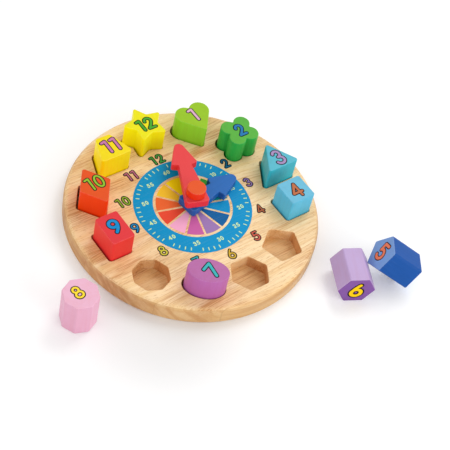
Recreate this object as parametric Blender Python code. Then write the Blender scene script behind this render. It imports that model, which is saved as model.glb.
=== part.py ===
"""Clock shape sorter: a round wooden board with a socket at each hour, a block for each socket and two hands.

Lengths are in metres. +Z is up, +Y points to 12 o'clock, and the origin is the middle of the board's
underside. Hand angles run clockwise from +Y. Nine blocks stand in their sockets, and three lie loose on
the floor that the board rests on.
"""

import math

import bpy
from mathutils import Matrix, Vector
from mathutils.bvhtree import BVHTree

# Fits between pieces
RESTING_GAP = 0.0003
HAND_GAP = 0.0004
HAND_BORE_CLEARANCE = 0.0004
SOCKET_CLEARANCE = 0.0010
CUTTER_OVERRUN = 0.002

# Board
BOARD_RADIUS = 0.110
BOARD_THICKNESS = 0.017
BOARD_TOP_ROUND = 0.004
BOARD_FOOT_ROUND = 0.002
SOCKET_DEPTH = 0.0122
SOCKET_MOUTH_EASE = 0.0005

# Blocks, all cut to one height
BLOCK_HEIGHT = 0.034
BLOCK_EDGE_EASE = 0.0007
BLOCK_CORNER_ROUND = 0.0018
HEART_LOBE_RADIUS = 0.0091
HEART_LOBE_SPREAD_SHARE = 0.81
HEART_LOBE_RISE = 0.0015
HEART_TIP_DROP = 0.0207
HEART_TIP_ROUND = 0.0018
FLOWER_LOBE_RADIUS = 0.0074
FLOWER_LOBE_SPREAD_SHARE = 0.92
NOTCH_ROUND = 0.0010
TRIANGLE_RADIUS = 0.0190
SQUARE_WIDTH = 0.0240
PENTAGON_RADIUS = 0.0171
HEXAGON_RADIUS = 0.0166
OVAL_LENGTH = 0.0348
OVAL_WIDTH = 0.0232
OVAL_TURN = math.radians(-42)
OCTAGON_RADIUS = 0.0154
RECTANGLE_WIDTH = 0.0209
RECTANGLE_HEIGHT = 0.0290
RHOMBUS_WIDTH = 0.0300
RHOMBUS_HEIGHT = 0.0412
TRAPEZOID_TOP_WIDTH = 0.0142
TRAPEZOID_BASE_WIDTH = 0.0312
TRAPEZOID_HEIGHT = 0.0246
TRAPEZOID_CORNER_ROUND = 0.0024
STAR_RADIUS = 0.0203
STAR_INNER_RADIUS = 0.0112
STAR_TIP_ROUND = 0.0016

# Hands, cut from one thickness of board, with one arrow head and one hub for both
HAND_THICKNESS = 0.0075
HAND_EDGE_EASE = 0.0006
HAND_TAIL_REACH = 0.0094
HAND_TAIL_WIDTH = 0.0212
HAND_TAIL_ROUND = 0.0026
HAND_NECK_WIDTH = 0.0112
HAND_NECK_ROUND = 0.0010
HAND_HEAD_WIDTH = 0.0236
HAND_HEAD_LENGTH = 0.0225
HAND_BARB_SWEEP = 0.0016
HAND_BARB_ROUND = 0.0013
HAND_TIP_WIDTH = 0.0062
HAND_TIP_ROUND = 0.0042
MINUTE_HAND_REACH = 0.0570
MINUTE_HAND_ANGLE = math.radians(18.5)
HOUR_HAND_REACH = 0.0478
HOUR_HAND_ANGLE = math.radians(83)

# Peg that the hands turn on
DOWEL_DIAMETER = 0.0080
DOWEL_SEAT_DEPTH = 0.0120
DOWEL_EDGE_EASE = 0.0006
CAP_DIAMETER = 0.0164
CAP_HEIGHT = 0.0076
CAP_EDGE_EASE = 0.0010
CAP_FOOT_EASE = 0.0003
CAP_BORE_DEPTH = 0.0050

# Where the middle of each block's socket lies, from 1 o'clock round, as shares of the board's radius
SOCKET_PLACE_SHARES = (
    (0.423, 0.674),
    (0.658, 0.352),
    (0.757, 0.008),
    (0.689, -0.362),
    (0.396, -0.642),
    (0.010, -0.748),
    (-0.368, -0.681),
    (-0.655, -0.409),
    (-0.760, -0.025),
    (-0.675, 0.389),
    (-0.366, 0.673),
    (0.014, 0.753),
)

# Where the middles of the loose blocks lie, as shares of the board's radius, and how they are turned
OCTAGON_PLACE_SHARES = (-1.265, -0.395)
OCTAGON_TURN = math.radians(3.5)
HEXAGON_PLACE_SHARES = (0.725, -1.125)
HEXAGON_HEADING = math.radians(243.5)
PENTAGON_PLACE_SHARES = (1.217, -1.231)
PENTAGON_HEADING = math.radians(141.9)
PENTAGON_TILT = math.radians(56.5)
PENTAGON_ROLL = math.radians(129.4)

# How far a block stands off its socket's middle, as shares of the clearance
BLOCK_SHIFT_SHARES = (0.48, -0.44)

# Facet counts
BOARD_STEPS = 128
TOP_ROUND_STEPS = 4
ROUND_STEPS = 2
LOBE_STEPS = 12
NOTCH_STEPS = 3
OVAL_STEPS = 44
PEG_STEPS = 36
PUSH_STEPS = 40
CORNER_STEP_ANGLE = math.radians(24)
LEAST_ROUND_SHARE = 0.2
SMOOTH_LIMIT = math.radians(50)

QUARTER_TURN = math.pi / 2
HALF_TURN = math.pi
FULL_TURN = math.tau


def rotated(vector, angle):
    """A flat vector turned anticlockwise by angle."""
    return Matrix.Rotation(angle, 2) @ vector


def rounded(corners, grow):
    """The outline of a polygon, moved outwards by grow, each corner rounded with its own radius."""
    outline = []
    count = len(corners)
    for index, (x, y, corner_round) in enumerate(corners):
        here = Vector((x, y))
        arriving = (here - Vector(corners[index - 1][:2])).normalized()
        leaving = (Vector(corners[(index + 1) % count][:2]) - here).normalized()
        turn = math.atan2(arriving.cross(leaving), arriving.dot(leaving))
        normal_in = rotated(arriving, -QUARTER_TURN)
        normal_out = rotated(leaving, -QUARTER_TURN)
        miter = (normal_in + normal_out) / (1 + normal_in.dot(normal_out))
        side = math.copysign(1, turn)
        radius = max(corner_round + side * grow, corner_round * LEAST_ROUND_SHARE)
        centre = here + miter * (grow - side * radius)
        steps = math.ceil(abs(turn) / CORNER_STEP_ANGLE)
        for step in range(steps + 1):
            outline.append(centre + rotated(normal_in * side * radius, turn * step / steps))
    return outline


def arc(centre, radius, start, end, steps):
    """Points on a circle from one angle to another."""
    return [
        centre + rotated(Vector((radius, 0)), start + (end - start) * step / steps)
        for step in range(steps + 1)
    ]


def notch_between(spread, lobe, grow):
    """How two lobes meet: the angle where each ends, and the radius and distance of the fillet between."""
    fillet = max(NOTCH_ROUND - grow, NOTCH_ROUND * LEAST_ROUND_SHARE)
    angle = math.acos(-spread / (lobe + fillet))
    return angle, fillet, (lobe + fillet) * math.sin(angle)


def regular_polygon(sides, radius, grow, first=QUARTER_TURN, drop=0):
    """A regular polygon with its first corner at 12 o'clock unless stated, and its centre lowered by drop."""
    corners = []
    for index in range(sides):
        angle = first + FULL_TURN * index / sides
        corners.append((radius * math.cos(angle), radius * math.sin(angle) - drop, BLOCK_CORNER_ROUND))
    return rounded(corners, grow)


def box_outline(width, height, grow):
    half_width, half_height = width / 2, height / 2
    return rounded(
        [
            (-half_width, -half_height, BLOCK_CORNER_ROUND),
            (half_width, -half_height, BLOCK_CORNER_ROUND),
            (half_width, half_height, BLOCK_CORNER_ROUND),
            (-half_width, half_height, BLOCK_CORNER_ROUND),
        ],
        grow,
    )


def heart_outline(grow):
    """Two lobes that meet in a notch, with straight flanks tangent to them and to the rounded tip."""
    lobe = HEART_LOBE_RADIUS + grow
    tip = max(HEART_TIP_ROUND + grow, HEART_TIP_ROUND * LEAST_ROUND_SHARE)
    spread = HEART_LOBE_RADIUS * HEART_LOBE_SPREAD_SHARE
    drop = HEART_TIP_DROP + HEART_LOBE_RISE - HEART_TIP_ROUND
    flank = math.atan2(drop, spread) - math.acos((tip - lobe) / math.hypot(spread, drop))
    notch, fillet, fillet_rise = notch_between(spread, lobe, grow)
    foot = Vector((0, HEART_LOBE_RISE - drop))
    fillet_centre = Vector((0, HEART_LOBE_RISE + fillet_rise))
    outline = arc(foot, tip, -HALF_TURN - flank, flank, LOBE_STEPS // 2)
    outline += arc(Vector((spread, HEART_LOBE_RISE)), lobe, flank, notch, LOBE_STEPS)
    outline += arc(fillet_centre, fillet, notch - HALF_TURN, -notch, NOTCH_STEPS)[1:-1]
    outline += arc(Vector((-spread, HEART_LOBE_RISE)), lobe, HALF_TURN - notch, HALF_TURN - flank, LOBE_STEPS)
    return outline


def flower_outline(grow):
    """Four round lobes on the diagonals, which meet in notches on the axes."""
    lobe = FLOWER_LOBE_RADIUS + grow
    spread = FLOWER_LOBE_RADIUS * FLOWER_LOBE_SPREAD_SHARE
    notch, fillet, fillet_rise = notch_between(spread, lobe, grow)
    outline = []
    for quarter in range(4):
        turn = QUARTER_TURN * quarter
        centre = rotated(Vector((spread, spread)), turn)
        fillet_centre = rotated(Vector((0, spread + fillet_rise)), turn)
        outline += arc(centre, lobe, turn + QUARTER_TURN - notch, turn + notch, LOBE_STEPS)
        outline += arc(fillet_centre, fillet, turn + notch - HALF_TURN, turn - notch, NOTCH_STEPS)[1:-1]
    return outline


def triangle_outline(grow):
    """A triangle that points to 12 o'clock, with the middle of its height on the socket's place."""
    return regular_polygon(3, TRIANGLE_RADIUS, grow, drop=TRIANGLE_RADIUS / 4)


def square_outline(grow):
    return box_outline(SQUARE_WIDTH, SQUARE_WIDTH, grow)


def pentagon_outline(grow):
    return regular_polygon(5, PENTAGON_RADIUS, grow)


def hexagon_outline(grow):
    return regular_polygon(6, HEXAGON_RADIUS, grow, first=0)


def oval_outline(grow):
    """An ellipse, moved outwards along its own normals."""
    outline = []
    for step in range(OVAL_STEPS):
        angle = FULL_TURN * step / OVAL_STEPS
        point = Vector((OVAL_LENGTH / 2 * math.cos(angle), OVAL_WIDTH / 2 * math.sin(angle)))
        normal = Vector((OVAL_WIDTH * math.cos(angle), OVAL_LENGTH * math.sin(angle))).normalized()
        outline.append(rotated(point + normal * grow, OVAL_TURN))
    return outline


def octagon_outline(grow):
    return regular_polygon(8, OCTAGON_RADIUS, grow)


def rectangle_outline(grow):
    return box_outline(RECTANGLE_WIDTH, RECTANGLE_HEIGHT, grow)


def rhombus_outline(grow):
    half_width, half_height = RHOMBUS_WIDTH / 2, RHOMBUS_HEIGHT / 2
    return rounded(
        [
            (half_width, 0, BLOCK_CORNER_ROUND),
            (0, half_height, BLOCK_CORNER_ROUND),
            (-half_width, 0, BLOCK_CORNER_ROUND),
            (0, -half_height, BLOCK_CORNER_ROUND),
        ],
        grow,
    )


def trapezoid_outline(grow):
    half_base, half_top, half_height = TRAPEZOID_BASE_WIDTH / 2, TRAPEZOID_TOP_WIDTH / 2, TRAPEZOID_HEIGHT / 2
    return rounded(
        [
            (-half_base, -half_height, TRAPEZOID_CORNER_ROUND),
            (half_base, -half_height, TRAPEZOID_CORNER_ROUND),
            (half_top, half_height, TRAPEZOID_CORNER_ROUND),
            (-half_top, half_height, TRAPEZOID_CORNER_ROUND),
        ],
        grow,
    )


def star_outline(grow):
    """A five-pointed star with one point at 12 o'clock."""
    corners = []
    for index in range(10):
        radius = STAR_INNER_RADIUS if index % 2 else STAR_RADIUS
        corner_round = BLOCK_CORNER_ROUND if index % 2 else STAR_TIP_ROUND
        angle = QUARTER_TURN + FULL_TURN * index / 10
        corners.append((radius * math.cos(angle), radius * math.sin(angle), corner_round))
    return rounded(corners, grow)


# Hour, name, outline and paint of each block
BLOCKS = (
    (1, "heart", heart_outline, (0.30, 0.56, 0.03)),
    (2, "flower", flower_outline, (0.08, 0.40, 0.06)),
    (3, "triangle", triangle_outline, (0.02, 0.42, 0.50)),
    (4, "square", square_outline, (0.09, 0.48, 0.70)),
    (5, "pentagon", pentagon_outline, (0.03, 0.17, 0.50)),
    (6, "hexagon", hexagon_outline, (0.34, 0.12, 0.42)),
    (7, "oval", oval_outline, (0.48, 0.12, 0.40)),
    (8, "octagon", octagon_outline, (0.84, 0.42, 0.60)),
    (9, "rectangle", rectangle_outline, (0.72, 0.04, 0.05)),
    (10, "rhombus", rhombus_outline, (0.78, 0.08, 0.02)),
    (11, "trapezoid", trapezoid_outline, (0.95, 0.62, 0.01)),
    (12, "star", star_outline, (0.86, 0.72, 0.01)),
)


def eased_profile(foot, top, foot_ease, top_ease, foot_steps, top_steps):
    """Heights and insets of a wall between two levels, with a quarter round at its foot and at its top."""
    profile = []
    for step in range(foot_steps + 1):
        angle = QUARTER_TURN * step / foot_steps
        profile.append((foot + foot_ease * (1 - math.cos(angle)), -foot_ease * (1 - math.sin(angle))))
    for step in range(top_steps + 1):
        angle = QUARTER_TURN * step / top_steps
        profile.append((top - top_ease * (1 - math.sin(angle)), -top_ease * (1 - math.cos(angle))))
    return profile


def loft(outline_at, profile):
    """Points and faces of a closed solid: the outline at each inset of the profile, joined level by level."""
    points, faces = [], []
    for height, grow in profile:
        ring = outline_at(grow)
        points += [Vector((point.x, point.y, height)) for point in ring]
    count = len(ring)
    for level in range(len(profile) - 1):
        lower, upper = level * count, (level + 1) * count
        for index in range(count):
            following = (index + 1) % count
            faces.append((lower + index, lower + following, upper + following, upper + index))
    faces.append(tuple(reversed(range(count))))
    faces.append(tuple(range(len(points) - count, len(points))))
    return points, faces


def circle(radius, steps):
    """The outline function of a circle."""

    def outline(grow):
        return arc(Vector((0, 0)), radius + grow, 0, FULL_TURN, steps)[:-1]

    return outline


def paint(name, colour, roughness=0.45):
    material = bpy.data.materials.new(name)
    material.use_nodes = True
    shader = material.node_tree.nodes["Principled BSDF"]
    shader.inputs["Base Color"].default_value = (*colour, 1)
    shader.inputs["Roughness"].default_value = roughness
    shader.inputs["Metallic"].default_value = 0
    material.diffuse_color = (*colour, 1)
    return material


def add_solid(name, solid, material):
    points, faces = solid
    mesh = bpy.data.meshes.new(name)
    mesh.from_pydata(points, [], faces)
    mesh.shade_smooth()
    mesh.set_sharp_from_angle(angle=SMOOTH_LIMIT)
    mesh.materials.append(material)
    obj = bpy.data.objects.new(name, mesh)
    bpy.context.scene.collection.objects.link(obj)
    return obj


def keep_flats_flat(obj):
    """Lets the large faces set the shading normals, so that only the eased edges look round."""
    weighted = obj.modifiers.new("flat_faces", "WEIGHTED_NORMAL")
    weighted.keep_sharp = True


def add_cutter(name, solid, place, target):
    """A solid that is cut out of the target, and that no render shows."""
    cutter = add_solid(name, solid, target.data.materials[0])
    cutter.location = place
    cutter.hide_render = True
    cutter.display_type = "WIRE"
    cut = target.modifiers.new(name, "BOOLEAN")
    cut.operation = "DIFFERENCE"
    cut.solver = "EXACT"
    cut.object = cutter
    return cutter


def on_board(shares):
    """A place given as shares of the board's radius."""
    return Vector((*shares, 0)) * BOARD_RADIUS


def socket_solid(outline_at):
    """The space that a router cuts for one block: its outline and the clearance, with an eased mouth."""

    def socket_outline(grow):
        return outline_at(SOCKET_CLEARANCE + grow)

    floor = BOARD_THICKNESS - SOCKET_DEPTH
    profile = [(floor, 0)]
    for step in range(ROUND_STEPS + 1):
        angle = QUARTER_TURN * step / ROUND_STEPS
        height = BOARD_THICKNESS - SOCKET_MOUTH_EASE * (1 - math.sin(angle))
        profile.append((height, SOCKET_MOUTH_EASE * (1 - math.cos(angle))))
    profile.append((BOARD_THICKNESS + CUTTER_OVERRUN, SOCKET_MOUTH_EASE))
    return loft(socket_outline, profile)


def add_board():
    profile = eased_profile(
        0, BOARD_THICKNESS, BOARD_FOOT_ROUND, BOARD_TOP_ROUND, ROUND_STEPS, TOP_ROUND_STEPS
    )
    wood = paint("rubberwood", (0.78, 0.55, 0.31))
    board = add_solid("board", loft(circle(BOARD_RADIUS, BOARD_STEPS), profile), wood)
    for (_, name, outline_at, _), place_shares in zip(BLOCKS, SOCKET_PLACE_SHARES):
        add_cutter(f"socket_cutter_{name}", socket_solid(outline_at), on_board(place_shares), board)
    hole = circle(DOWEL_DIAMETER / 2 + RESTING_GAP, PEG_STEPS)
    levels = [(BOARD_THICKNESS - DOWEL_SEAT_DEPTH, 0), (BOARD_THICKNESS + CUTTER_OVERRUN, 0)]
    add_cutter("dowel_hole_cutter", loft(hole, levels), Vector((0, 0, 0)), board)
    keep_flats_flat(board)


def block_solid(outline_at, grow=0):
    """A block standing on the origin, with eased edges, and grown all round by a clearance if given."""
    profile = [
        (height, inset + grow)
        for height, inset in eased_profile(
            -grow, BLOCK_HEIGHT + grow, BLOCK_EDGE_EASE, BLOCK_EDGE_EASE, ROUND_STEPS, ROUND_STEPS
        )
    ]
    return loft(outline_at, profile)


def turned(heading, tilt, roll):
    """Turns a block by roll on its own axis, leans the axis over by tilt, and points it along heading."""
    return Matrix.Rotation(heading, 4, "Z") @ Matrix.Rotation(tilt, 4, "Y") @ Matrix.Rotation(roll, 4, "Z")


def on_floor(solid, rotation, shares):
    """The placing that turns a block, stands its lowest point on the floor and its middle over a place."""
    lowest = min((rotation @ point).z for point in solid[0])
    middle = rotation @ Vector((0, 0, BLOCK_HEIGHT / 2))
    place = on_board(shares) - Vector((middle.x, middle.y, lowest))
    return Matrix.Translation(place) @ rotation


def tree_of(solid, placed):
    points, faces = solid
    return BVHTree.FromPolygons([placed @ point for point in points], faces)


def pushed_against(solid, placed, other, other_placed):
    """Moves a placed solid along -X until it meets the other solid, and no further."""
    obstacle = tree_of(other, other_placed)
    near = other_placed.translation.x - placed.translation.x
    far = near + 2 * BOARD_RADIUS
    for _ in range(PUSH_STEPS):
        middle = (near + far) / 2
        if tree_of(solid, Matrix.Translation((middle, 0, 0)) @ placed).overlap(obstacle):
            near = middle
        else:
            far = middle
    return Matrix.Translation((far, 0, 0)) @ placed


def loose_placings():
    """Where the octagon stands, the hexagon lies and the pentagon leans on the hexagon."""
    octagon = block_solid(octagon_outline)
    hexagon = block_solid(hexagon_outline)
    pentagon = block_solid(pentagon_outline)
    lying = turned(HEXAGON_HEADING, QUARTER_TURN, QUARTER_TURN)
    leaning = turned(PENTAGON_HEADING, PENTAGON_TILT, PENTAGON_ROLL)
    hexagon_placed = on_floor(hexagon, lying, HEXAGON_PLACE_SHARES)
    pentagon_placed = on_floor(pentagon, leaning, PENTAGON_PLACE_SHARES)
    around_hexagon = block_solid(hexagon_outline, RESTING_GAP)
    return {
        "octagon": on_floor(octagon, turned(OCTAGON_TURN, 0, 0), OCTAGON_PLACE_SHARES),
        "hexagon": hexagon_placed,
        "pentagon": pushed_against(pentagon, pentagon_placed, around_hexagon, hexagon_placed),
    }


def add_blocks():
    loose = loose_placings()
    shift = Vector((*BLOCK_SHIFT_SHARES, 0)) * SOCKET_CLEARANCE
    seat = Vector((0, 0, BOARD_THICKNESS - SOCKET_DEPTH + RESTING_GAP))
    for (hour, name, outline_at, colour), place_shares in zip(BLOCKS, SOCKET_PLACE_SHARES):
        block = add_solid(f"block_{hour:02d}_{name}", block_solid(outline_at), paint(f"{name}_paint", colour))
        keep_flats_flat(block)
        if name in loose:
            block.matrix_world = loose[name]
        else:
            block.location = on_board(place_shares) + seat + shift


def hand_outline(reach):
    """The outline function of an arrow-shaped hand, widest at its squared hub, that points to +Y."""
    barb = reach - HAND_HEAD_LENGTH
    neck = barb - HAND_BARB_SWEEP
    right_side = (
        (HAND_TAIL_WIDTH / 2, -HAND_TAIL_REACH, HAND_TAIL_ROUND),
        (HAND_NECK_WIDTH / 2, neck, HAND_NECK_ROUND),
        (HAND_HEAD_WIDTH / 2, barb, HAND_BARB_ROUND),
        (HAND_TIP_WIDTH / 2, reach, HAND_TIP_ROUND),
    )
    left_side = tuple((-x, y, corner_round) for x, y, corner_round in reversed(right_side))

    def outline(grow):
        return rounded(right_side + left_side, grow)

    return outline


def add_hand(name, reach, clock_angle, level, colour):
    profile = eased_profile(0, HAND_THICKNESS, HAND_EDGE_EASE, HAND_EDGE_EASE, ROUND_STEPS, ROUND_STEPS)
    hand = add_solid(name, loft(hand_outline(reach), profile), paint(f"{name}_paint", colour))
    hand.location = (0, 0, level)
    hand.rotation_euler = (0, 0, -clock_angle)
    bore = circle(DOWEL_DIAMETER / 2 + HAND_BORE_CLEARANCE, PEG_STEPS)
    levels = [(-CUTTER_OVERRUN, 0), (HAND_THICKNESS + CUTTER_OVERRUN, 0)]
    add_cutter(f"{name}_bore_cutter", loft(bore, levels), Vector((0, 0, level)), hand)
    keep_flats_flat(hand)


def add_peg(cap_level):
    """The dowel glued into the board, and the cap glued onto the dowel over the hands."""
    foot = BOARD_THICKNESS - DOWEL_SEAT_DEPTH + RESTING_GAP
    head = cap_level + CAP_BORE_DEPTH - RESTING_GAP
    dowel_profile = eased_profile(foot, head, DOWEL_EDGE_EASE, DOWEL_EDGE_EASE, ROUND_STEPS, ROUND_STEPS)
    dowel = loft(circle(DOWEL_DIAMETER / 2, PEG_STEPS), dowel_profile)
    add_solid("center_dowel", dowel, paint("bare_dowel", (0.74, 0.52, 0.30)))
    cap_profile = eased_profile(0, CAP_HEIGHT, CAP_FOOT_EASE, CAP_EDGE_EASE, ROUND_STEPS, TOP_ROUND_STEPS)
    cap_solid = loft(circle(CAP_DIAMETER / 2, PEG_STEPS), cap_profile)
    cap = add_solid("peg_cap", cap_solid, paint("cap_paint", (0.80, 0.10, 0.02)))
    cap.location = (0, 0, cap_level)
    bore = circle(DOWEL_DIAMETER / 2 + RESTING_GAP, PEG_STEPS)
    levels = [(-CUTTER_OVERRUN, 0), (CAP_BORE_DEPTH, 0)]
    add_cutter("cap_bore_cutter", loft(bore, levels), Vector((0, 0, cap_level)), cap)
    keep_flats_flat(cap)


def build():
    for obj in list(bpy.data.objects):
        bpy.data.objects.remove(obj)
    hour_level = BOARD_THICKNESS + HAND_GAP
    minute_level = hour_level + HAND_THICKNESS + HAND_GAP
    cap_level = minute_level + HAND_THICKNESS + HAND_GAP
    add_board()
    add_blocks()
    add_hand("hour_hand", HOUR_HAND_REACH, HOUR_HAND_ANGLE, hour_level, (0.02, 0.12, 0.40))
    add_hand("minute_hand", MINUTE_HAND_REACH, MINUTE_HAND_ANGLE, minute_level, (0.70, 0.02, 0.04))
    add_peg(cap_level)


build()
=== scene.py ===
"""Looks of the clock shape sorter, put together in the order that its maker would work.

Lengths are in metres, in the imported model's frame: +Z is up, +Y points to 12 o'clock, +X to 3 o'clock.
"""

import math

import bpy
import numpy as np
from mathutils import Matrix, Vector


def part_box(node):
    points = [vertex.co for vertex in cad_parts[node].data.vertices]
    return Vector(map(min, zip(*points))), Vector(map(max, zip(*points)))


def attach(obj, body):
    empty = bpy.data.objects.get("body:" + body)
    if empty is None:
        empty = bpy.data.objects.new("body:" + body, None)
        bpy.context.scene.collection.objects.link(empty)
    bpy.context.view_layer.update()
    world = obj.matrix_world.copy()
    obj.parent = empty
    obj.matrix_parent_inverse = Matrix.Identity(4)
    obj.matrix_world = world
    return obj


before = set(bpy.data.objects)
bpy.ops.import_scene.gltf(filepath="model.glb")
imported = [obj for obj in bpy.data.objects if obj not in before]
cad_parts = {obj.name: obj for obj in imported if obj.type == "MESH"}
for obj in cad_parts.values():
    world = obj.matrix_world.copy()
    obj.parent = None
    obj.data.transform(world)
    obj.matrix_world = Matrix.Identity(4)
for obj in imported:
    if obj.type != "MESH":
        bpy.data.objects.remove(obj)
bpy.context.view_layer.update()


# The board: a round of rubberwood, glued up from staves that run from 9 to 3 o'clock. It is sanded and
# lacquered to a satin finish, its rim shows end grain at 3 and 9 o'clock, and the sockets and the
# hole for the dowel are routed into it. The routed faces are painted a little darker, partly for the
# routed wood and partly as painted shade in those recesses.

STAVE_WIDTH = 0.0323
STAVE_JOINT = -0.0375
STAVE_SEED = (5.0, 3.0)
STAVE_LEAN = 0.14
GRAIN_SWAY = 0.006

# From no effect to full effect: distances from the middle where the rim begins and where the sockets
# end, and heights below which a face is a routed one
RIM_BEGINS = (0.1065, 0.1085)
SOCKETS_END = (0.1070, 0.1062)
BELOW_TOP = (0.0168, 0.0160)

# Where the wood is browner: middle x and y, half length along the grain and half width across it
BROWN_PLACES = (
    (-0.088, 0.043, 0.024, 0.013),
    (-0.098, -0.006, 0.022, 0.011),
    (-0.040, 0.048, 0.032, 0.009),
    (0.049, 0.048, 0.026, 0.008),
    (-0.086, -0.030, 0.026, 0.008),
    (-0.040, -0.094, 0.040, 0.009),
    (0.070, 0.060, 0.024, 0.007),
    (-0.030, 0.092, 0.030, 0.008),
)


def pigment(red, green, blue):
    """A colour as 8-bit values of the picture, turned into the linear light that a shader works in.

    With c the value over 255, the light is c / 12.92 up to 0.04045, and ((c + 0.055) / 1.055)^2.4 above.
    """
    coded = np.array((red, green, blue)) / 255
    linear = np.where(coded <= 0.04045, coded / 12.92, ((coded + 0.055) / 1.055) ** 2.4)
    return (*linear.tolist(), 1.0)


class Finish:
    """A procedural finish built around one Principled shader, reading places in metres, turned if asked."""

    def __init__(self, name, turn=(0, 0, 0)):
        self.material = bpy.data.materials.new(name)
        self.material.use_nodes = True
        self.tree = self.material.node_tree
        reader = self.tree.nodes.new("ShaderNodeTexCoord")
        self.facing = reader.outputs["Normal"]
        self.place = self.node("ShaderNodeMapping", {"Vector": reader.outputs["Object"], "Rotation": turn})

    def fill(self, node, inputs):
        """Links each named input to an output, or sets a plain value on it."""
        for key, value in inputs.items():
            if isinstance(value, bpy.types.NodeSocket):
                self.tree.links.new(value, node.inputs[key])
            else:
                node.inputs[key].default_value = value

    def shade(self, inputs):
        """Fills inputs of the shader itself."""
        self.fill(self.tree.nodes["Principled BSDF"], inputs)

    def node(self, kind, inputs, output=0, **settings):
        """A new node with its inputs filled in, given back as one of its outputs."""
        node = self.tree.nodes.new(kind)
        for key, value in settings.items():
            setattr(node, key, value)
        self.fill(node, inputs)
        return node.outputs[output]

    def maths(self, operation, *values):
        """One operation on plain numbers."""
        return self.node("ShaderNodeMath", dict(enumerate(values)), operation=operation)

    def times(self, first, second):
        """The product of two plain numbers."""
        return self.maths("MULTIPLY", first, second)

    def linear(self, value, slope, start):
        """Slope times value, plus start."""
        return self.maths("MULTIPLY_ADD", value, slope, start)

    def vector(self, operation, *values, output=0):
        """One operation on vectors. A length or a dot product comes out of output 1."""
        return self.node("ShaderNodeVectorMath", dict(enumerate(values)), output, operation=operation)

    def component(self, vector, axis):
        """The part of a vector along x, y or z, for an axis of 0, 1 or 2."""
        return self.node("ShaderNodeSeparateXYZ", {0: vector}, axis)

    def noise(self, place, per_metre, detail, warp=0.0):
        """Soft noise from 0 to 1 with so many waves in a metre along each direction."""
        stretched = self.vector("MULTIPLY", place, per_metre)
        inputs = {"Vector": stretched, "Scale": 1.0, "Detail": detail, "Distortion": warp}
        return self.node("ShaderNodeTexNoise", inputs)

    def step(self, value, low, high, most=1.0):
        """Rises smoothly from 0 at low to most at high."""
        inputs = {"Value": value, "From Min": low, "From Max": high, "To Max": most}
        return self.node("ShaderNodeMapRange", inputs, interpolation_type="SMOOTHSTEP")

    def blend(self, share, below, above, kind="MIX"):
        """Lays one colour over another, the upper one at the given share."""
        inputs = {0: share, 6: below, 7: above}
        return self.node("ShaderNodeMix", inputs, 2, data_type="RGBA", blend_type=kind)

    def relief(self, height, strength, depth):
        """Gives the surface a relief of the given depth from a height of 0 to 1."""
        inputs = {"Height": height, "Strength": strength, "Distance": depth}
        self.shade({"Normal": self.node("ShaderNodeBump", inputs)})


def dress(node, material):
    """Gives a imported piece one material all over."""
    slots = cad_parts[node].data.materials
    slots.clear()
    slots.append(material)


wood = Finish("lacquered_rubberwood")
along, across, upward = (wood.component(wood.place, axis) for axis in range(3))
row = wood.maths("DIVIDE", wood.maths("SUBTRACT", across, STAVE_JOINT), STAVE_WIDTH)
stave = wood.node("ShaderNodeCombineXYZ", {0: wood.maths("FLOOR", row), 1: STAVE_SEED[0], 2: STAVE_SEED[1]})
stave_chance = wood.node("ShaderNodeTexWhiteNoise", {"Vector": stave}, 0, noise_dimensions="3D")
stave_shift = wood.node("ShaderNodeTexWhiteNoise", {"Vector": stave}, 1, noise_dimensions="3D")
lean = wood.times(along, wood.linear(stave_chance, STAVE_LEAN, -STAVE_LEAN / 2))
sway = wood.times(wood.noise(wood.place, (22, 30, 30), detail=1), GRAIN_SWAY)
leaning = wood.node("ShaderNodeCombineXYZ", {1: wood.maths("ADD", lean, sway)})
stave_place = wood.vector("ADD", wood.vector("ADD", wood.place, stave_shift), leaning)
ring_turn = {"Vector": stave_place, "Angle": wood.linear(stave_chance, 1.0, 0.5)}
ring_place = wood.node("ShaderNodeVectorRotate", ring_turn, rotation_type="X_AXIS")

from_middle = wood.vector("LENGTH", wood.vector("MULTIPLY", wood.place, (1, 1, 0)), output=1)
flatness = wood.maths("ABSOLUTE", wood.component(wood.facing, 2))
end_grain = wood.maths("ABSOLUTE", wood.component(wood.facing, 0))
rim = wood.times(wood.step(from_middle, *RIM_BEGINS), wood.step(flatness, 0.92, 0.45))
routed = wood.times(wood.step(from_middle, *SOCKETS_END), wood.step(upward, *BELOW_TOP))
seam = wood.maths("ABSOLUTE", wood.maths("SUBTRACT", wood.maths("FRACT", row), 0.5))

growth = wood.noise(ring_place, (9, 240, 36), detail=2, warp=0.6)
bands = wood.noise(stave_place, (6, 170, 170), detail=3, warp=0.4)
patches = wood.noise(stave_place, (14, 60, 60), detail=2)
streaks = wood.noise(stave_place, (34, 1150, 1150), detail=3)
flecks = wood.noise(stave_place, (170, 1900, 1900), detail=1)
blotch = wood.noise(wood.place, (60, 190, 190), detail=2)

# A brown place fades out about one half length or half width from its middle, unevenly by the blotches
brown = 0.0
for x, y, half_length, half_width in BROWN_PLACES:
    offset = wood.vector("SUBTRACT", wood.place, (x, y, 0))
    offset = wood.vector("MULTIPLY", offset, (1 / half_length, 1 / half_width, 0))
    reach = wood.linear(blotch, 0.9, wood.vector("LENGTH", offset, output=1))
    brown = wood.maths("MAXIMUM", brown, wood.step(reach, 1.55, 0.75))
streaky = wood.maths("MAXIMUM", brown, wood.step(patches, 0.46, 0.70, 0.85))
streaky = wood.times(streaky, wood.linear(rim, -0.8, 1.0))
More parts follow.
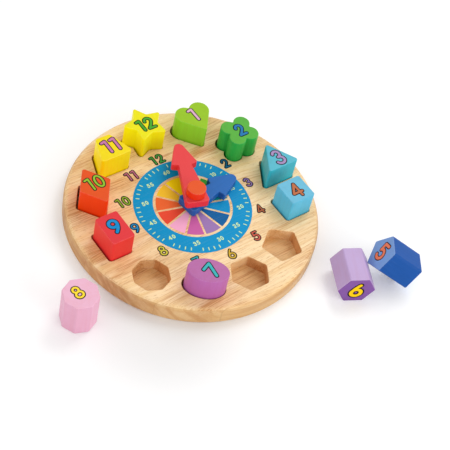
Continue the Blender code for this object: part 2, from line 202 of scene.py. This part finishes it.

# How much shows of the growth rings, the fine and the heavy streaks, the flecks, the sawn ends of the
# fibres, made darker in the sockets as painted shade on their walls, and the router's tint, which is
# partly the routed wood and partly painted shade in the sockets, most on their floors
grown = wood.times(wood.step(growth, 0.42, 0.62), wood.linear(rim, 0.35, 0.13))
fine = wood.times(wood.step(streaks, 0.50, 0.68), wood.linear(rim, -0.24, 0.34))
heavy = wood.times(wood.step(streaks, 0.47, 0.60, 0.72), streaky)
flecked = wood.times(wood.step(flecks, 0.62, 0.70), wood.linear(rim, -0.38, 0.46))
end_grain_and_socket_shade = wood.times(wood.step(end_grain, 0.35, 0.98), wood.linear(routed, 0.40, 0.30))
router_tint_and_socket_shade = wood.times(routed, wood.linear(flatness, 0.28, 0.12))

colour = wood.blend(wood.step(bands, 0.34, 0.68), pigment(253, 224, 176), pigment(244, 207, 150))
for share, tone, kind in (
    (wood.step(stave_chance, 0.0, 1.0, 0.20), (234, 188, 128), "MIX"),
    (wood.times(streaky, 0.40), (222, 166, 98), "MIX"),
    (wood.times(brown, 0.28), (204, 146, 92), "MIX"),
    (grown, (212, 152, 84), "MIX"),
    (fine, (214, 154, 84), "MIX"),
    (heavy, (192, 126, 62), "MIX"),
    (flecked, (176, 112, 56), "MIX"),
    (wood.step(seam, 0.488, 0.498, 0.22), (170, 116, 66), "MIX"),
    # end grain, darker still on the socket walls as painted shade
    (end_grain_and_socket_shade, (206, 154, 98), "MULTIPLY"),
    (wood.times(rim, 0.74), (218, 202, 178), "MULTIPLY"),
    # the router's tint in the sockets: partly the routed wood, partly painted shade
    (router_tint_and_socket_shade, (226, 194, 136), "MULTIPLY"),
):
    colour = wood.blend(share, colour, pigment(*tone), kind)
roughness = wood.linear(streaks, 0.18, wood.linear(routed, 0.18, 0.30))
wood.shade({"Base Color": colour, "Specular IOR Level": 0.40, "Roughness": roughness})
wood.relief(wood.linear(flecks, -0.7, wood.times(streaks, -0.3)), 0.22, 0.00025)
dress("board", wood.material)


# The dial: a blue minute ring and twelve hour wedges, screen printed straight onto the lacquer, so each
# is a film of ink a tenth of a millimetre thick that follows the board. The wood between the ring and
# the wedges, and in the slits between the wedges, is left bare.

BOARD_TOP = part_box("board")[1].z
INK_DEPTH = 0.00006
INK_FILM = 0.00010
FILM_HEIGHTS = (BOARD_TOP + INK_FILM, BOARD_TOP - INK_DEPTH)
RING_INNER = 0.0345
RING_OUTER = 0.0514
WEDGE_INNER = 0.0056
WEDGE_OUTER = 0.0321
HALF_SLIT = 0.00092
SHARP_ANGLE = math.radians(40)

# Rows of points round the ring and across it, and along a wedge and across it
RING_ROWS = (180, 5)
WEDGE_ROWS = (12, 11)


def plate(x, y, upper, lower, around=False):
    """A closed plate over a grid of places: sheets at the heights upper and lower, and a wall round them.

    With around, the last row of the grid joins the first, which makes a ring.
    """
    rows, columns = x.shape
    sheets = [np.stack(np.broadcast_arrays(x, y, height), axis=-1) for height in (upper, lower)]
    points = np.concatenate([sheet.reshape(-1, 3) for sheet in sheets])
    number = np.arange(rows * columns).reshape(rows, columns)
    if around:
        number = np.vstack([number, number[:1]])
    under = number + rows * columns
    corner = number[:-1, :-1], number[1:, :-1], number[1:, 1:], number[:-1, 1:]
    faces = [np.stack(corner, axis=-1), np.stack([c + rows * columns for c in corner[::-1]], axis=-1)]
    edges = [(number[:, 0], under[:, 0]), (number[::-1, -1], under[::-1, -1])]
    if not around:
        edges += [(number[0, ::-1], under[0, ::-1]), (number[-1], under[-1])]
    for top, foot in edges:
        faces.append(np.stack([top[:-1], foot[:-1], foot[1:], top[1:]], axis=-1))
    return points, np.concatenate([face.reshape(-1, 4) for face in faces])


def placed(name, data):
    """A new object of the scene around a mesh, a lamp or a camera."""
    thing = bpy.data.objects.new(name, data)
    bpy.context.scene.collection.objects.link(thing)
    return thing


def assemble(name, parts, materials, body, into=lambda points: points):
    """One piece from closed plates, each part being (plates, number of its material), put in its place."""
    points, faces, kinds, count = [], [], [], 0
    for plates, kind in parts:
        for plate_points, plate_faces in plates:
            points.append(plate_points)
            faces.append(plate_faces + count)
            kinds.append(np.full(len(plate_faces), kind))
            count += len(plate_points)
    mesh = bpy.data.meshes.new(name)
    mesh.from_pydata(into(np.concatenate(points)).tolist(), [], np.concatenate(faces).tolist())
    for material in materials:
        mesh.materials.append(material)
    mesh.polygons.foreach_set("material_index", np.concatenate(kinds))
    mesh.shade_smooth()
    mesh.set_sharp_from_angle(angle=SHARP_ANGLE)
    piece = placed(name, mesh)
    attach(piece, body)


def ink(name, colour, roughness=0.42):
    """Screen ink: a thin even film that the grain below shows through as faint streaks and pinholes.

    Its roughness is the given one, give or take 0.08 along the streaks.
    """
    film = Finish(name)
    streak = film.noise(film.place, (40, 1100, 1100), detail=2)
    speck = film.noise(film.place, (1900, 1900, 1900), detail=1)
    thin = film.blend(film.step(streak, 0.50, 0.80, 0.04), pigment(*colour), pigment(232, 200, 150))
    thin = film.blend(film.step(speck, 0.72, 0.80, 0.12), thin, pigment(240, 214, 170))
    uneven = film.linear(streak, 0.16, roughness - 0.08)
    film.shade({"Base Color": thin, "Specular IOR Level": 0.08, "Roughness": uneven})
    film.relief(film.times(streak, -1.0), 0.20, 0.00012)
    return film.material


def wedge(hour):
    """The film of one wedge, whose sides stay a fixed distance off the rays that bound it.

    At radius r its half angle is a 24th of a turn less the arcsine of HALF_SLIT / r. Angles run clockwise
    from 12.
    """
    radii = np.linspace(WEDGE_INNER, WEDGE_OUTER, WEDGE_ROWS[0])
    radius, share = np.meshgrid(radii, np.linspace(1, -1, WEDGE_ROWS[1]), indexing="ij")
    angle = hour * math.tau / 12 + share * (math.tau / 24 - np.arcsin(HALF_SLIT / radius))
    return plate(radius * np.sin(angle), radius * np.cos(angle), *FILM_HEIGHTS)


turns = np.linspace(0, math.tau, RING_ROWS[0], endpoint=False)
turn, radius = np.meshgrid(turns, np.linspace(RING_OUTER, RING_INNER, RING_ROWS[1]), indexing="ij")
ring = plate(radius * np.cos(turn), radius * np.sin(turn), *FILM_HEIGHTS, around=True)
assemble("printed_minute_ring", [([ring], 0)], [ink("ring_blue_ink", (6, 146, 200))], "board")

WEDGE_COLOURS = {
    12: ("yellow", (255, 226, 4)),
    1: ("lime", (150, 190, 30)),
    2: ("green", (52, 153, 46)),
    3: ("teal", (10, 150, 150)),
    4: ("sky", (0, 143, 198)),
    5: ("navy", (6, 95, 157)),
    6: ("violet", (156, 121, 179)),
    7: ("magenta", (199, 96, 163)),
    8: ("pink", (246, 172, 206)),
    9: ("red", (232, 74, 48)),
    10: ("orange", (232, 101, 45)),
    11: ("amber", (242, 193, 41)),
}
for hour, (shade, colour) in WEDGE_COLOURS.items():
    inks = [ink(f"wedge_{shade}_ink", colour)]
    assemble(f"printed_wedge_{hour:02d}", [([wedge(hour)], 0)], inks, "board")


# The numbers: round-ended strokes of ink, printed in one colour on the minute ring, and in a colour
# over a dark outline for the hours and on the blocks. Each stroke is a ribbon of ink, barely domed, and
# the strokes of a number lie over each other where they cross.

DOME = 0.00006
END_ANGLES = np.radians([85, 68, 50, 33, 16])
ACROSS_STROKE = np.array([-1, -0.93, -0.7, -0.35, 0, 0.35, 0.7, 0.93, 1])


def bow(x, y, width, height, start, end, points=26):
    """Points on an ellipse of the given half width and half height, from one angle to another in degrees."""
    angle = np.radians(np.linspace(start, end, points))
    return np.stack([x + width * np.cos(angle), y + height * np.sin(angle)], axis=-1)


def loop(x, y, width, height, points=44):
    """Points once round an ellipse, from its top back to its top."""
    return bow(x, y, width, height, 90, 450, points)


def straight(start, end):
    """Points along a straight stroke."""
    return np.linspace(start, end, 5)


def parabola(start, pull, end):
    """Points on a parabola whose two end directions meet at pull.

    At a share t along it lies (1 - t)^2 start + 2 t (1 - t) pull + t^2 end.
    """
    share = np.linspace(0, 1, 18)[:, None]
    start, pull, end = (np.array(point) for point in (start, pull, end))
    return (1 - share) ** 2 * start + 2 * share * (1 - share) * pull + share**2 * end


TWO_BOW = bow(0.28, 0.72, 0.26, 0.28, 176, -28)
TWO_SLOPE = parabola((0.510, 0.589), (0.40, 0.36), (0.03, 0.0))
SIX_BACK = parabola((0.44, 1.0), (0.10, 0.66), (0.0, 0.30))
NINE_BACK = parabola((0.58, 0.71), (0.56, 0.34), (0.20, 0.0))
FOUR = ((0.46, 1.0), (0.0, 0.28)), ((0.0, 0.28), (0.68, 0.28)), ((0.46, 1.0), (0.50, 0.0))
FIVE_TOP = ((0.15, 1.0), (0.56, 1.0)), ((0.15, 1.0), (0.09, 0.56))
SEVEN = ((0.0, 1.0), (0.66, 1.0)), ((0.66, 1.0), (0.12, 0.0))

# The width of each digit and the centre lines of its strokes, for a height of 1
DIGITS = {
    "0": (0.53, [loop(0.265, 0.50, 0.265, 0.50, 60)]),
    "1": (0.28, [straight((0.0, 0.93), (0.27, 1.0)), straight((0.28, 1.0), (0.28, 0.0))]),
    "2": (0.58, [np.vstack([TWO_BOW, TWO_SLOPE[1:]]), straight((0.03, 0.0), (0.58, 0.0))]),
    "3": (0.53, [bow(0.25, 0.76, 0.23, 0.24, 160, -90), bow(0.25, 0.26, 0.28, 0.26, 90, -158, 34)]),
    "4": (0.68, [straight(*ends) for ends in FOUR]),
    "5": (0.58, [straight(*ends) for ends in FIVE_TOP] + [bow(0.26, 0.32, 0.31, 0.32, 124, -150, 40)]),
    "6": (0.60, [loop(0.30, 0.30, 0.30, 0.30), SIX_BACK]),
    "7": (0.66, [straight(*ends) for ends in SEVEN]),
    "8": (0.60, [loop(0.30, 0.77, 0.23, 0.23), loop(0.30, 0.27, 0.30, 0.27)]),
    "9": (0.58, [loop(0.29, 0.71, 0.29, 0.29), NINE_BACK]),
}


def ribbon(line, half_width, floor, film):
    """A stroke of ink along a line: straight across, round at its ends, and domed by film over its floor.

    An end is a half circle: past the line's end by h sin a, the half width w is h cos a, h being the whole
    half width. At a share t along the line and s across it, the ink stands over its floor by
    film (0.35 + 0.15 t + 0.5 w / h sqrt(1 - s^2)). A line that comes back to its start is a ring.
    """
    ring = np.allclose(line[0], line[-1])
    if ring:
        line = line[:-1]
        ahead = np.roll(line, -1, axis=0) - np.roll(line, 1, axis=0)
        widths = np.full(len(line), half_width)
    else:
        ahead = np.gradient(line, axis=0)
        reach = half_width * np.sin(END_ANGLES)[:, None]
        unit = ahead / np.linalg.norm(ahead, axis=1, keepdims=True)
        line = np.vstack([line[0] - unit[0] * reach, line, line[-1] + unit[-1] * reach[::-1]])
        rows = len(END_ANGLES)
        ahead = np.vstack([np.repeat(unit[:1], rows, 0), unit, np.repeat(unit[-1:], rows, 0)])
        narrow = half_width * np.cos(END_ANGLES)
        widths = np.concatenate([narrow, np.full(len(unit), half_width), narrow[::-1]])
    ahead = ahead / np.linalg.norm(ahead, axis=1, keepdims=True)
    aside = np.stack([-ahead[:, 1], ahead[:, 0]], axis=-1)
    share = ACROSS_STROKE
    places = line[:, None] + aside[:, None] * (share[:, None] * widths[:, None, None])
    rise = np.linspace(0, 0.15, len(line))[:, None]
    dome = floor + film * (0.35 + rise + 0.5 * np.sqrt(1 - share**2) * widths[:, None] / half_width)
    return plate(places[..., 0], places[..., 1], dome, -INK_DEPTH, ring)


def written(number, height, stroke, spread, floor, film, gap):
    """The ribbons of a number, its middle at the origin, height being that of its centre lines."""
    digits = [DIGITS[digit] for digit in str(number)]
    width = sum(digit_width for digit_width, _ in digits) + gap * (len(digits) - 1)
    start, ribbons = -width / 2, []
    for digit_width, lines in digits:
        for line in lines:
            ribbons.append(ribbon((line + (start, -0.5)) * height, stroke / 2 + spread, floor, film))
        start += digit_width + gap
    return ribbons


def onto(middle, right=(1, 0, 0), up=(0, 1, 0), out=(0, 0, 1)):
    """Carries a flat number onto a face: x runs along right, y along up, and heights along out."""
    axes = np.array([right, up, out], dtype=float)
    return lambda points: points @ axes + np.array(middle, dtype=float)


def clock_place(hour, radius):
    """A place on the board's top at a radius and at an hour, which may be a fraction."""
    angle = hour * math.tau / 12
    return np.array((radius * math.sin(angle), radius * math.cos(angle), BOARD_TOP))


MINUTE_HEIGHT = 0.0034
MINUTE_STROKE = 0.00085
MINUTE_GAP = 0.42
MINUTE_RADIUS = 0.0411
TICK_INNER = 0.0463
TICK_OUTER = 0.0488
TICK_WIDTH = 0.00085

scale_ink = ink("minute_scale_ink", (208, 238, 168), 0.45)
marks = []
for minute in range(60):
    if minute % 5:
        ends = [clock_place(minute / 5, radius)[:2] for radius in (TICK_INNER, TICK_OUTER)]
        marks.append(ribbon(straight(*ends), TICK_WIDTH / 2, INK_FILM, DOME))
assemble("printed_minute_ticks", [(marks, 0)], [scale_ink], "board", onto((0, 0, BOARD_TOP)))
marks = []
for minute in range(5, 65, 5):
    place = onto(clock_place(minute / 5, MINUTE_RADIUS))
    for points, faces in written(minute, MINUTE_HEIGHT, MINUTE_STROKE, 0, INK_FILM, DOME, MINUTE_GAP):
        marks.append((place(points), faces))
assemble("printed_minute_numbers", [(marks, 0)], [scale_ink], "board")

HOUR_HEIGHT = 0.0083
HOUR_STROKE = 0.00128
HOUR_OUTLINE = 0.00090
HOUR_GAP = 0.45
HOURS = {
    1: ((240, 150, 200), (0.0278, 0.0508)),
    2: ((16, 100, 142), (0.0529, 0.0264)),
    3: ((142, 110, 164), (0.0582, -0.0009)),
    4: ((172, 92, 58), (0.0497, -0.0307)),
    5: ((203, 91, 72), (0.0289, -0.0528)),
    6: ((213, 174, 53), (-0.0011, -0.0587)),
    7: ((38, 162, 168), (-0.0310, -0.0517)),
    8: ((214, 203, 67), (-0.0502, -0.0289)),
    9: ((22, 136, 194), (-0.0572, 0.0020)),
    10: ((138, 176, 44), (-0.0514, 0.0305)),
    11: ((183, 101, 130), (-0.0296, 0.0520)),
    12: ((66, 157, 64), (0.0011, 0.0576)),
}
outline_ink = ink("number_outline_ink", (18, 18, 24), 0.5)


def outlined(number, height, stroke, outline, gap):
    """A number as two parts: its strokes in dark ink, wider by outline all round, and in colour over it."""
    below = written(number, height, stroke, outline, 0, INK_FILM, gap)
    above = written(number, height, stroke, 0, INK_FILM, INK_FILM, gap)
    return [(below, 0), (above, 1)]


for hour, (colour, (x, y)) in HOURS.items():
    parts = outlined(hour, HOUR_HEIGHT, HOUR_STROKE, HOUR_OUTLINE, HOUR_GAP)
    inks = [outline_ink, ink(f"hour_{hour:02d}_ink", colour)]
    assemble(f"printed_hour_{hour:02d}", parts, inks, "board", onto((x, y, BOARD_TOP)))


# The dowel: a bare turned peg of the same wood, glued upright in the middle of the board. The hands
# turn on it, and only a sliver of it shows between them.

peg = Finish("bare_dowel_wood")
fibres = peg.noise(peg.place, (1500, 1500, 70), detail=2)
rings = peg.noise(peg.place, (260, 260, 20), detail=2)
colour = peg.blend(peg.step(rings, 0.35, 0.70), pigment(228, 194, 142), pigment(206, 164, 110))
colour = peg.blend(peg.step(fibres, 0.50, 0.78, 0.5), colour, pigment(170, 122, 74))
peg.shade({"Base Color": colour, "Roughness": peg.linear(fibres, 0.2, 0.5)})
peg.relief(peg.times(fibres, -1.0), 0.3, 0.0002)
dress("center_dowel", peg.material)


# The hands and the cap: arrows sawn from a thin board and a turned button, dipped in satin paint. Their
# tops and sides take two colours as painted light and shade, the eased edges are flecked paler, partly
# as wear and partly as a painted highlight, and the grain of the wood stands through the paint as a
# faint relief.

WHITE = (1, 1, 1, 1)
MOTTLE_TINT = (0.95, 0.86, 0.84, 1)
RIB_TINT = (0.97, 0.84, 0.80, 1)
RIBS_PER_FIBRE = 0.3

# Waves of the grain in a metre along x, y and z, far fewer along the fibres than across them
HAND_GRAIN = (1300, 60, 1300)
CAP_GRAIN = (900, 900, 60)
BLOCK_GRAIN = (1300, 1300, 60)


def painted(name, side, end, grain, turn=(0, 0, 0), axis=(0, 0, 1)):
    """Satin paint over wood, one colour on the sides and another on the ends. The two differ only as painted
    light and shade, each holding how lit or how shaded that kind of face is meant to look.

    Axis points out of the ends. The eased edges round them are flecked a little paler, partly as wear and
    partly as a painted highlight.
    """
    coat = Finish(name, turn)
    mottle = coat.noise(coat.place, (55, 55, 55), detail=3)
    fibres = coat.noise(coat.place, grain, detail=2)
    ribs = coat.noise(coat.place, [per_metre * RIBS_PER_FIBRE for per_metre in grain], detail=2)
    specks = coat.noise(coat.place, (1500, 1500, 1500), detail=1)
    out = coat.maths("ABSOLUTE", coat.vector("DOT_PRODUCT", coat.facing, axis, output=1))
    edge = coat.times(coat.step(out, 0.15, 0.40), coat.step(out, 0.97, 0.85))
    # Pale flecks on the eased edges: partly wear, partly a painted highlight
    worn_and_highlit_edges = coat.times(edge, coat.step(specks, 0.35, 0.65, 0.08))
    # Painted light and shade: the sides and the ends take two colours for how lit each kind of face looks
    shade = coat.blend(coat.step(out, 0.45, 0.85), pigment(*side), pigment(*end))
    shade = coat.blend(coat.step(mottle, 0.30, 0.70, 0.30), shade, MOTTLE_TINT, "MULTIPLY")
    shade = coat.blend(coat.step(ribs, 0.42, 0.66, 0.26), shade, RIB_TINT, "MULTIPLY")
    shade = coat.blend(coat.step(fibres, 0.55, 0.80, 0.010), shade, WHITE)
    shade = coat.blend(worn_and_highlit_edges, shade, WHITE)
    roughness = coat.linear(fibres, 0.12, 0.32)
    coat.shade({"Base Color": shade, "Specular IOR Level": 0.22, "Roughness": roughness})
    coat.relief(coat.linear(specks, 0.35, coat.times(fibres, -0.65)), 0.22, 0.00012)
    return coat.material


# How far the hands point away from 12 o'clock, which their grain follows
MINUTE_TURN = math.radians(18.5)
HOUR_TURN = math.radians(83)

# Painted light and shade: the hands and the cap take one colour on their sides and another on their tops
hour_paint = painted("hour_hand_paint", (30, 98, 178), (22, 101, 181), HAND_GRAIN, (0, 0, HOUR_TURN))
minute_paint = painted("minute_hand_paint", (240, 54, 64), (228, 65, 67), HAND_GRAIN, (0, 0, MINUTE_TURN))
dress("hour_hand", hour_paint)
dress("minute_hand", minute_paint)
dress("peg_cap", painted("cap_paint", (245, 53, 7), (228, 82, 16), CAP_GRAIN))


# The blocks: each is sawn from a shaped length of rubberwood, so its number stands on end grain. They
# are painted all round in their hour's colour, and the number is printed on one end in a second
# colour over a dark outline. Nine stand in their sockets, and the 5, the 6 and the 8 lie loose.

THIN_OUTLINE = 0.00085
THICK_OUTLINE = 0.0013
BLOCK_GAP = 0.37
FACE_TOLERANCE = 1e-5

# Angles in degrees: how the loose blocks lie, and how the numbers are turned on their faces
HEXAGON_HEADING = 243.5
PENTAGON_HEADING = 141.9
PENTAGON_TILT = 56.5
PENTAGON_SPIN = 129.4
PENTAGON_NUMBER_TURN = -7
OCTAGON_TURN = 10.9
OVAL_NUMBER_TURN = 23


def turned(degrees, axis="Z"):
    """A rotation about one axis of the frame."""
    return Matrix.Rotation(math.radians(degrees), 3, axis)


# How a number faces: which way it points out of its block, and which way its head points
TOP = Vector((0, 0, 1))
TWELVE = Vector((0, 1, 0))
heading = math.radians(HEXAGON_HEADING)
PENTAGON = turned(PENTAGON_HEADING) @ turned(PENTAGON_TILT, "Y") @ turned(PENTAGON_SPIN)
UPRIGHT = (TOP, TWELVE)
LYING = (Vector((math.cos(heading), math.sin(heading), 0)), TOP)
LEANING = (PENTAGON @ TOP, PENTAGON @ (turned(PENTAGON_NUMBER_TURN) @ TWELVE))
STANDING = (TOP, turned(OCTAGON_TURN) @ TWELVE)
SLANTED = (TOP, turned(OVAL_NUMBER_TURN) @ TWELVE)

# The shape of each hour's block, the colours of its sides and of its ends, which differ as painted light
# and shade, and the ink of its number
PAINTS = {
    1: ("heart", (146, 218, 48), (148, 195, 24), (220, 174, 197)),
    2: ("flower", (44, 183, 73), (84, 175, 56), (38, 120, 176)),
    3: ("triangle", (49, 185, 204), (82, 182, 202), (165, 140, 185)),
    4: ("square", (90, 199, 236), (102, 185, 215), (187, 109, 71)),
    5: ("pentagon", (0, 80, 163), (120, 159, 219), (230, 122, 92)),
    6: ("hexagon", (190, 164, 209), (129, 82, 160), (255, 208, 0)),
    7: ("oval", (184, 103, 174), (181, 104, 165), (61, 178, 184)),
    8: ("octagon", (231, 174, 200), (237, 184, 207), (252, 220, 60)),
    9: ("rectangle", (234, 53, 52), (225, 51, 57), (14, 138, 201)),
    10: ("rhombus", (243, 66, 4), (228, 81, 15), (146, 190, 50)),
    11: ("trapezoid", (255, 236, 0), (243, 219, 0), (197, 120, 166)),
    12: ("star", (255, 250, 0), (235, 228, 0), (72, 166, 47)),
}

# How each number faces, where it stands off the middle of the face, its height, the width of its
# strokes and that of their outline
NUMBERS = {
    1: (UPRIGHT, (-0.0015, 0.0032), 0.0128, 0.0023, THIN_OUTLINE),
    2: (UPRIGHT, (0.0003, 0.0000), 0.0111, 0.0023, THIN_OUTLINE),
    3: (UPRIGHT, (0.0010, -0.0031), 0.0140, 0.0024, THIN_OUTLINE),
    4: (UPRIGHT, (-0.0004, -0.0008), 0.0129, 0.0022, THIN_OUTLINE),
    5: (LEANING, (0.0, 0.0), 0.0136, 0.0028, THIN_OUTLINE),
    6: (LYING, (0.0, 0.0), 0.0140, 0.0033, THICK_OUTLINE),
    7: (SLANTED, (0.0016, -0.0023), 0.0116, 0.0024, THIN_OUTLINE),
    8: (STANDING, (-0.0014, 0.0022), 0.0103, 0.0018, THIN_OUTLINE),
    9: (UPRIGHT, (-0.0001, 0.0009), 0.0121, 0.0027, THIN_OUTLINE),
    10: (UPRIGHT, (0.0010, 0.0022), 0.0120, 0.0018, THIN_OUTLINE),
    11: (UPRIGHT, (0.0006, 0.0002), 0.0127, 0.0024, THIN_OUTLINE),
    12: (UPRIGHT, (-0.0005, -0.0027), 0.0114, 0.0021, THIN_OUTLINE),
}


def end_of(node, right, up, out):
    """The middle of the flat end of a block that faces out, from the extent of that face's corners."""
    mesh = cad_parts[node].data
    corners = np.empty(len(mesh.vertices) * 3, np.float32)
    mesh.vertices.foreach_get("co", corners)
    local = corners.reshape(-1, 3) @ np.array([right, up, out]).T
    face = local[local[:, 2] > local[:, 2].max() - FACE_TOLERANCE]
    middle = (face.min(0) + face.max(0)) / 2
    return right * middle[0] + up * middle[1] + out * middle[2]


for hour, (shape, side, end, number_colour) in PAINTS.items():
    (out, up), (aside, above), height, stroke, outline = NUMBERS[hour]
    node = f"block_{hour:02d}_{shape}"
    right = up.cross(out)
    turn = Matrix((right, up, out)).to_euler()
    dress(node, painted(f"{shape}_paint", side, end, BLOCK_GRAIN, tuple(turn), tuple(out)))
    middle = end_of(node, right, up, out) + right * aside + up * above
    parts = outlined(hour, height, stroke, outline, BLOCK_GAP)
    inks = [outline_ink, ink(f"{shape}_number_ink", number_colour)]
    place = onto(middle, right, up, out)
    assemble(f"number_{hour:02d}_on_{shape}", parts, inks, f"{shape}_block", place)


# The studio: a plain white floor, a soft box above and to the right, two larger ones in front and on
# the left that lift the shadows, and a short telephoto lens that looks down from the lower left.

# Where the camera sees the floor, it is lifted by a faint glow of its own, which is left out beside the
# near left of the rim and comes in between two distances from there
SHADED_PLACE = (-0.080, -0.078, 0)
GLOW_BEGINS = (0.025, 0.105)
GLOW = 0.19
FLOOR_REACH = 4
WARM_WHITE = (0.862, 0.858, 0.852, 1)
COOL_WHITE = (0.842, 0.838, 0.834, 1)

paper = Finish("studio_white")
uneven = paper.step(paper.noise(paper.place, (6, 6, 6), detail=2), 0.3, 0.7)
seen = paper.node("ShaderNodeLightPath", {})
apart = paper.vector("LENGTH", paper.vector("SUBTRACT", paper.place, SHADED_PLACE), output=1)
glow = paper.times(seen, paper.step(apart, *GLOW_BEGINS, GLOW))
paper.shade({"Base Color": paper.blend(uneven, WARM_WHITE, COOL_WHITE), "Roughness": 0.9})
paper.shade({"Specular IOR Level": 0.1, "Emission Color": WHITE, "Emission Strength": glow})
mesh = bpy.data.meshes.new("studio_floor")
corners = [(x * FLOOR_REACH, y * FLOOR_REACH, 0) for x, y in ((-1, -1), (1, -1), (1, 1), (-1, 1))]
mesh.from_pydata(corners, [], [(0, 1, 2, 3)])
mesh.materials.append(paper.material)
floor = placed("studio_floor", mesh)

# Which way each square lamp stands from the middle of the board, which it faces, how far off, how wide
# it is and its power in watts
SOFT_BOXES = {
    "key_box": ((0.56, 0.19, 0.80), 1.4, 0.7, 5.9),
    "front_box": ((0.24, -0.88, 0.34), 1.8, 1.3, 12.2),
    "left_box": ((-0.92, 0.14, 0.34), 1.8, 1.4, 8.3),
}
for name, (direction, distance, width, power) in SOFT_BOXES.items():
    lamp = bpy.data.lights.new(name, "AREA")
    lamp.shape = "SQUARE"
    lamp.size = width
    lamp.energy = power
    holder = placed(name, lamp)
    away = Vector(direction).normalized()
    holder.location = away * distance
    holder.rotation_euler = away.to_track_quat("Z", "Y").to_euler()

# The air lights the toy from all round, and the camera sees it as plain white
AIR_STRENGTH = 0.66
world = bpy.data.worlds.new("studio_air")
bpy.context.scene.world = world
world.use_nodes = True
air = world.node_tree
lighting = air.nodes["Background"]
backdrop = air.nodes.new("ShaderNodeBackground")
for background, strength in ((lighting, AIR_STRENGTH), (backdrop, 1.0)):
    background.inputs["Color"].default_value = WHITE
    background.inputs["Strength"].default_value = strength
ray = air.nodes.new("ShaderNodeLightPath")
choice = air.nodes.new("ShaderNodeMixShader")
air.links.new(ray.outputs["Is Camera Ray"], choice.inputs[0])
air.links.new(lighting.outputs[0], choice.inputs[1])
air.links.new(backdrop.outputs[0], choice.inputs[2])
air.links.new(choice.outputs[0], air.nodes["World Output"].inputs["Surface"])

# The camera looks at its target from a heading and a rise above the floor, and is rolled about its view
CAMERA_TARGET = Vector((0.02264, -0.02090, 0))
CAMERA_DISTANCE = 1.10597
CAMERA_HEADING = math.radians(-46.7006)
CAMERA_RISE = math.radians(49.7681)
CAMERA_ROLL = math.radians(14.7331)
LENS_MM = 102.4215
SENSOR_MM = 36
CLIP = (0.05, 20)

aside = math.cos(CAMERA_RISE)
back = Vector((math.sin(CAMERA_HEADING) * aside, -math.cos(CAMERA_HEADING) * aside, math.sin(CAMERA_RISE)))
level = Vector((math.cos(CAMERA_HEADING), math.sin(CAMERA_HEADING), 0))
rising = back.cross(level)
right = math.cos(CAMERA_ROLL) * level + math.sin(CAMERA_ROLL) * rising
up = math.cos(CAMERA_ROLL) * rising - math.sin(CAMERA_ROLL) * level
aim = Matrix((right, up, back)).transposed().to_4x4()
lens = bpy.data.cameras.new("photo_camera")
lens.lens = LENS_MM
lens.sensor_width = SENSOR_MM
lens.clip_start, lens.clip_end = CLIP
camera = placed("photo_camera", lens)
camera.matrix_world = Matrix.Translation(CAMERA_TARGET + back * CAMERA_DISTANCE) @ aim
bpy.context.scene.camera = camera
bpy.context.scene.view_settings.view_transform = "Standard"
